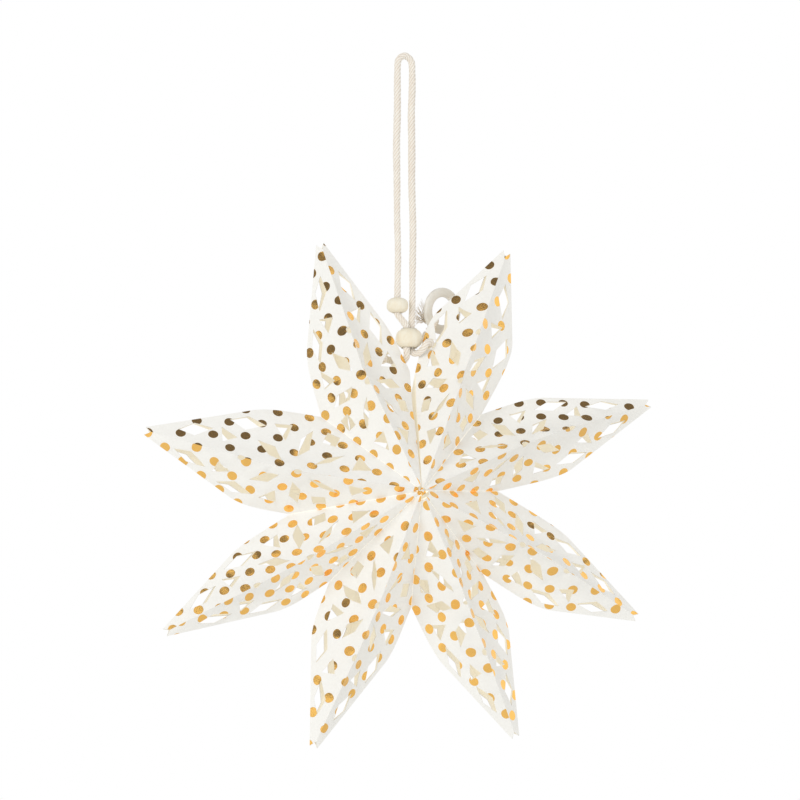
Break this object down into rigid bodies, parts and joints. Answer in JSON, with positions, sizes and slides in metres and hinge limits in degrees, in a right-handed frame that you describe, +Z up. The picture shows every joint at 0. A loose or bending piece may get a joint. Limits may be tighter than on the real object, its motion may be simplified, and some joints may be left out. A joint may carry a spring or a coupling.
{
  "type": "folded paper star ornament",
  "caption": "Hollow folded paper star with pierced leaf-shaped points, hung on a looped cotton cord with two sliding wooden beads.",
  "frame": {"origin": "the hanging point, inside the top of the cord's loop", "axes": "+Z up, the star faces -Y, the star's middle plane is Y = 0"},
  "size_m": [0.2982, 0.075, 0.4013],
  "materials": {
    "paper": "smooth white card with round gold foil dots",
    "glue": "dried craft adhesive",
    "cotton": "natural twisted cotton",
    "beech": "smooth pale turned wood, no varnish",
    "pearl": "pale pearly gloss"
  },
  "bodies": {
    "star": {"star_point_1": "paper", "star_point_2": "paper", "star_point_3": "paper", "star_point_4": "paper", "star_point_5": "paper", "star_point_6": "paper", "star_point_7": "paper", "star_point_8": "paper", "glue_film_2": "glue", "glue_film_3": "glue", "glue_film_4": "glue", "glue_film_5": "glue", "glue_film_6": "glue", "glue_film_7": "glue", "glue_film_8": "glue", "hanging_cord": "cotton", "stopper_knot": "cotton", "ring_hitch": "cotton", "frayed_tail": "cotton", "cord_ring": "pearl"},
    "large_slider": {"large_bead": "beech"},
    "small_slider": {"small_bead": "beech"}
  },
  "joints": [
    {"name": "large_bead_slide", "type": "slide", "parent": "star", "child": "large_slider", "axis": [0, 0, 1], "range_m": [0, 0.08], "deforming": ["hanging_cord"]},
    {"name": "small_bead_slide", "type": "slide", "parent": "large_slider", "child": "small_slider", "axis": [0, 0, 1], "range_m": [0, 0.04]}
  ]
}
